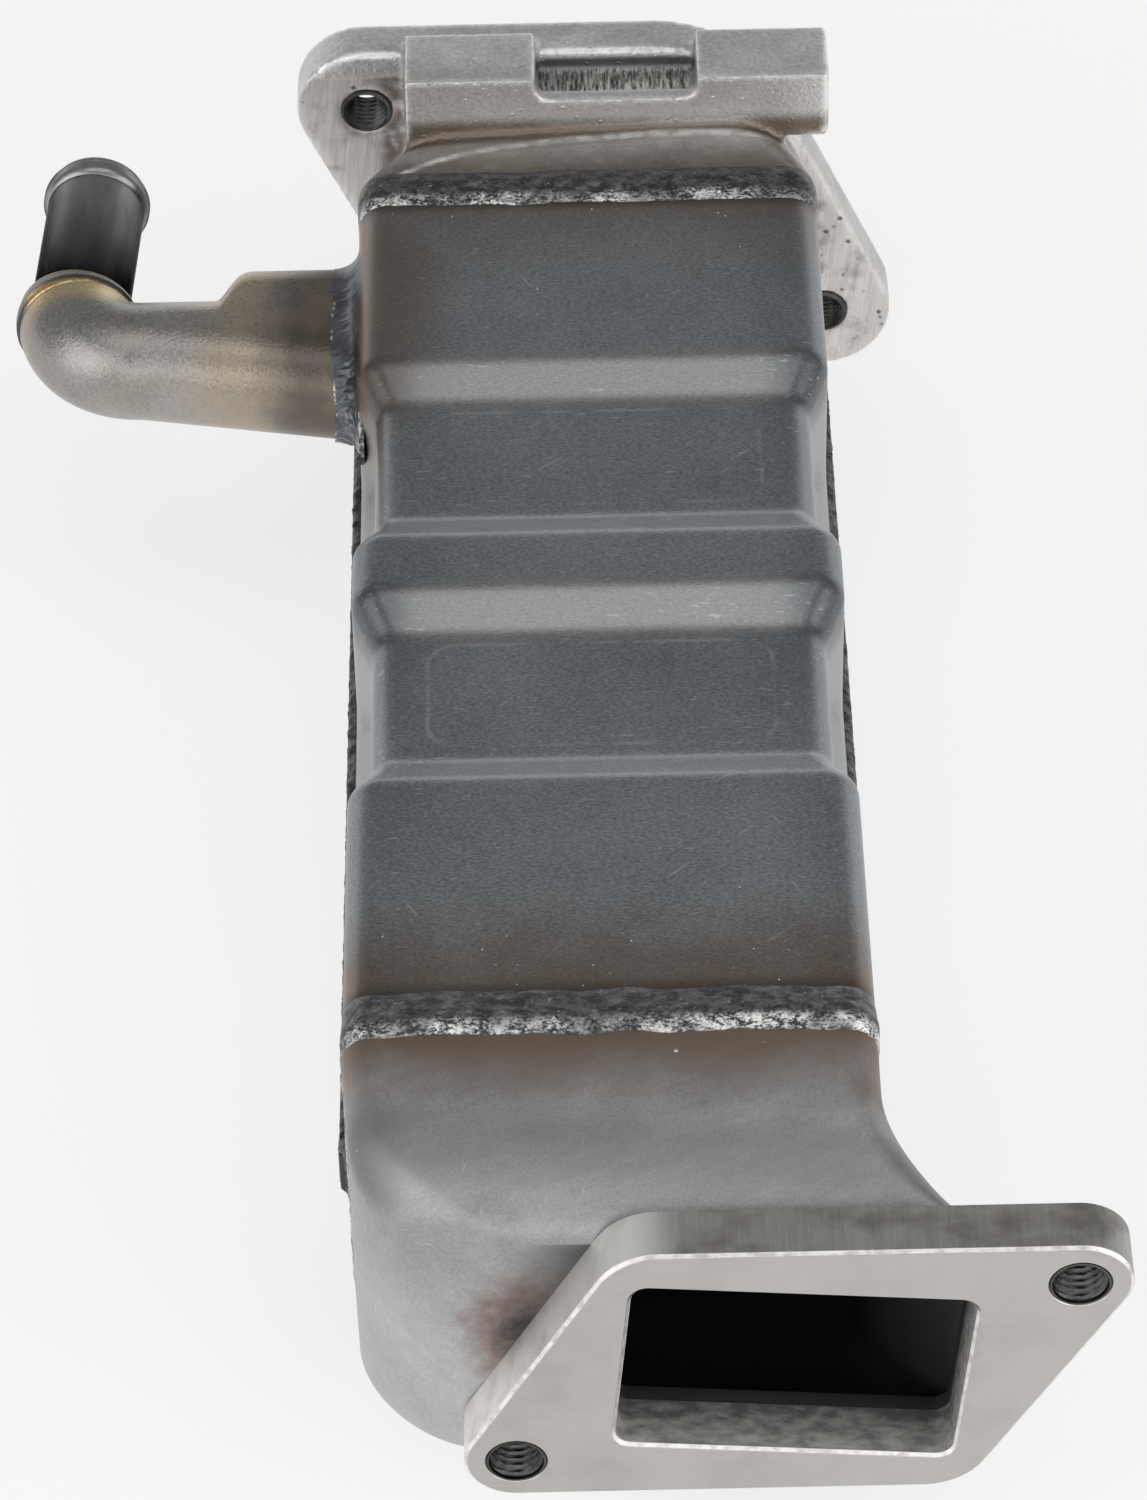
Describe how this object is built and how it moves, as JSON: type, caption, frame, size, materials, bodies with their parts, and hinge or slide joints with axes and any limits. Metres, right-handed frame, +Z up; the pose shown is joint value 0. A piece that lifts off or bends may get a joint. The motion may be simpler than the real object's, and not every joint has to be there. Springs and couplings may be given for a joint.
{
  "type": "egr cooler",
  "caption": "Ribbed box-shaped exhaust gas cooler with a turned front port flange, a cast rear port flange with a slotted bar, and a side coolant elbow with a beaded hose tube.",
  "frame": {"origin": "centre of the front port's bolt circle, on the flange face", "axes": "+Y from the front port to the rear port, +Z up, +X to the right seen from the front"},
  "size_m": [0.1688, 0.277, 0.0726],
  "materials": {
    "shell_steel": "dark slate mill finish with a fine speckle, browned beside the welds",
    "core_steel": "plain mill finish",
    "formed_steel": "satin grey, browned below the weld",
    "flange_steel": "bright satin machined face",
    "cast_steel": "matt cast skin with ground ears",
    "elbow_steel": "satin grey with a gold heat tint",
    "tube_steel": "dark drawn tube, smooth",
    "weld_metal": "dark scaled bead with bright ripples",
    "braze_metal": "dull gold ring"
  },
  "bodies": {
    "root": {"upper_shell": "shell_steel", "lower_shell": "shell_steel", "front_header_plate": "core_steel", "rear_header_plate": "core_steel", "gas_tube_1": "core_steel", "gas_tube_2": "core_steel", "gas_tube_3": "core_steel", "gas_tube_4": "core_steel", "gas_tube_5": "core_steel", "gas_tube_6": "core_steel", "gas_tube_7": "core_steel", "gas_fin_1": "core_steel", "gas_fin_2": "core_steel", "gas_fin_3": "core_steel", "gas_fin_4": "core_steel", "gas_fin_5": "core_steel", "gas_fin_6": "core_steel", "gas_fin_7": "core_steel", "front_manifold": "formed_steel", "front_flange": "flange_steel", "inlet_boss": "flange_steel", "rear_casting": "cast_steel", "coolant_elbow": "elbow_steel", "hose_tube": "tube_steel", "front_end_weld": "weld_metal", "rear_end_weld": "weld_metal", "left_seam_weld": "weld_metal", "right_seam_weld": "weld_metal", "elbow_weld": "weld_metal", "inlet_boss_weld": "weld_metal", "hose_tube_braze": "braze_metal"}
  },
  "joints": []
}
